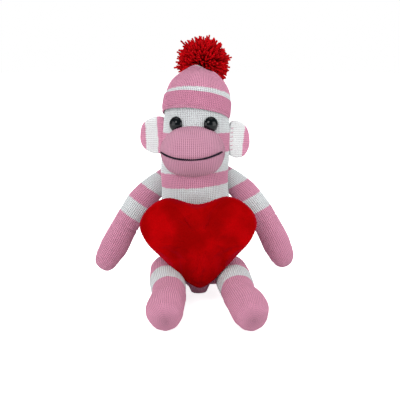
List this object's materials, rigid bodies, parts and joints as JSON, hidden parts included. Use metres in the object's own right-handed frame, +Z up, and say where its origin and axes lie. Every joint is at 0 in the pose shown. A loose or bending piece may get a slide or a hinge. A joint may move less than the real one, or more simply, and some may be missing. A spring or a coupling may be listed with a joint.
{
  "type": "stuffed monkey",
  "caption": "Seated knitted plush monkey with striped tube limbs, bobble hat, round ears, button eyes and a plush heart.",
  "frame": {"origin": "centre of the flat seat on the floor, under the torso's axis", "axes": "+Z up, -Y the way the monkey faces, +X to the monkey's own left, which is the side the node names call left"},
  "size_m": [0.1991, 0.2535, 0.2488],
  "materials": {
    "knit_striped": "matte",
    "knit_pink": "matte",
    "knit_white": "matte",
    "fibrefill": "matte",
    "pink_thread": "matte",
    "red_yarn": "matte",
    "red_plush": "matte",
    "black_yarn": "matte",
    "eye_black": "gloss",
    "washer_white": "matte"
  },
  "bodies": {
    "torso": {"torso_skin": "knit_striped", "torso_stuffing": "fibrefill", "heart_tack_thread": "red_yarn"},
    "neck": {"neck_thread": "pink_thread"},
    "head": {"head_skin": "knit_striped", "head_stuffing": "fibrefill", "muzzle_skin": "knit_pink", "muzzle_stuffing": "fibrefill", "mouth_yarn": "black_yarn", "hat": "knit_pink", "left_eye": "eye_black", "right_eye": "eye_black", "left_eye_washer": "washer_white", "right_eye_washer": "washer_white", "left_ear_thread": "pink_thread", "right_ear_thread": "pink_thread"},
    "left_ear": {"left_ear": "knit_white"},
    "right_ear": {"right_ear": "knit_white"},
    "pompom_tie": {"pompom_thread": "red_yarn"},
    "pompom": {"pompom": "red_yarn"},
    "tail_root": {"tail_thread": "pink_thread"},
    "tail": {"tail_skin": "knit_pink", "tail_stuffing": "fibrefill"},
    "heart": {"heart_front_panel": "red_plush", "heart_back_panel": "red_plush", "heart_stuffing": "fibrefill"},
    "left_shoulder": {"left_shoulder_thread": "pink_thread"},
    "left_arm": {"left_arm_skin": "knit_striped", "left_arm_stuffing": "fibrefill"},
    "left_hip": {"left_hip_thread": "pink_thread"},
    "left_leg": {"left_leg_skin": "knit_striped", "left_leg_stuffing": "fibrefill"},
    "right_shoulder": {"right_shoulder_thread": "pink_thread"},
    "right_arm": {"right_arm_skin": "knit_striped", "right_arm_stuffing": "fibrefill"},
    "right_hip": {"right_hip_thread": "pink_thread"},
    "right_leg": {"right_leg_skin": "knit_striped", "right_leg_stuffing": "fibrefill"}
  },
  "joints": [
    {"name": "neck_turn", "type": "hinge", "parent": "torso", "child": "neck", "pos_m": [-0.0043, 0.00586, 0.11176], "axis": [-0.0384, 0.0523, 0.9979], "range_deg": [-35, 35]},
    {"name": "neck_nod", "type": "hinge", "parent": "neck", "child": "head", "pos_m": [-0.0043, 0.00586, 0.11176], "axis": [0.9993, 0.002, 0.0383], "range_deg": [-6, 6]},
    {"name": "left_shoulder_swing", "type": "hinge", "parent": "torso", "child": "left_shoulder", "pos_m": [0.03721, 0.00988, 0.11215], "axis": [-0.9993, -0.002, -0.0383], "range_deg": [-40, 120]},
    {"name": "left_shoulder_raise", "type": "hinge", "parent": "left_shoulder", "child": "left_arm", "pos_m": [0.03721, 0.00988, 0.11215], "axis": [0, -0.9986, 0.0523], "range_deg": [0, 75]},
    {"name": "right_shoulder_swing", "type": "hinge", "parent": "torso", "child": "right_shoulder", "pos_m": [-0.04573, 0.00972, 0.10897], "axis": [-0.9993, -0.002, -0.0383], "range_deg": [-40, 120]},
    {"name": "right_shoulder_raise", "type": "hinge", "parent": "right_shoulder", "child": "right_arm", "pos_m": [-0.04573, 0.00972, 0.10897], "axis": [0, 0.9986, -0.0523], "range_deg": [0, 75]},
    {"name": "left_hip_swing", "type": "hinge", "parent": "torso", "child": "left_hip", "pos_m": [0.0305, -0.024, 0.025], "axis": [1, 0, 0], "range_deg": [0, 88]},
    {"name": "left_hip_spread", "type": "hinge", "parent": "left_hip", "child": "left_leg", "pos_m": [0.0305, -0.024, 0.025], "axis": [0, 0, 1], "range_deg": [0, 40]},
    {"name": "right_hip_swing", "type": "hinge", "parent": "torso", "child": "right_hip", "pos_m": [-0.0305, -0.024, 0.025], "axis": [1, 0, 0], "range_deg": [0, 88]},
    {"name": "right_hip_spread", "type": "hinge", "parent": "right_hip", "child": "right_leg", "pos_m": [-0.0305, -0.024, 0.025], "axis": [0, 0, -1], "range_deg": [0, 45]},
    {"name": "tail_wag", "type": "hinge", "parent": "torso", "child": "tail_root", "pos_m": [0, 0.04, 0.012], "axis": [0, 0, 1], "range_deg": [-50, 50]},
    {"name": "tail_lift", "type": "hinge", "parent": "tail_root", "child": "tail", "pos_m": [0, 0.04, 0.012], "axis": [1, 0, 0], "range_deg": [0, 60]},
    {"name": "left_ear_fold", "type": "hinge", "parent": "head", "child": "left_ear", "pos_m": [0.0331, 0.00719, 0.15209], "axis": [0.0314, 0.0523, 0.9981], "range_deg": [-20, 20]},
    {"name": "right_ear_fold", "type": "hinge", "parent": "head", "child": "right_ear", "pos_m": [-0.03847, 0.01482, 0.15395], "axis": [0.0314, 0.0523, 0.9981], "range_deg": [-20, 20]},
    {"name": "pompom_sway", "type": "hinge", "parent": "head", "child": "pompom_tie", "pos_m": [0.00221, 0.03812, 0.20964], "axis": [0.0413, 0.5843, -0.8105], "range_deg": [-15, 15]},
    {"name": "pompom_nod", "type": "hinge", "parent": "pompom_tie", "child": "pompom", "pos_m": [0.00221, 0.03812, 0.20964], "axis": [0.9931, -0.113, -0.0308], "range_deg": [-15, 15]},
    {"name": "heart_tilt", "type": "hinge", "parent": "torso", "child": "heart", "pos_m": [0.0006, -0.0294, 0.088], "axis": [-1, 0, 0], "range_deg": [0, 25]}
  ]
}
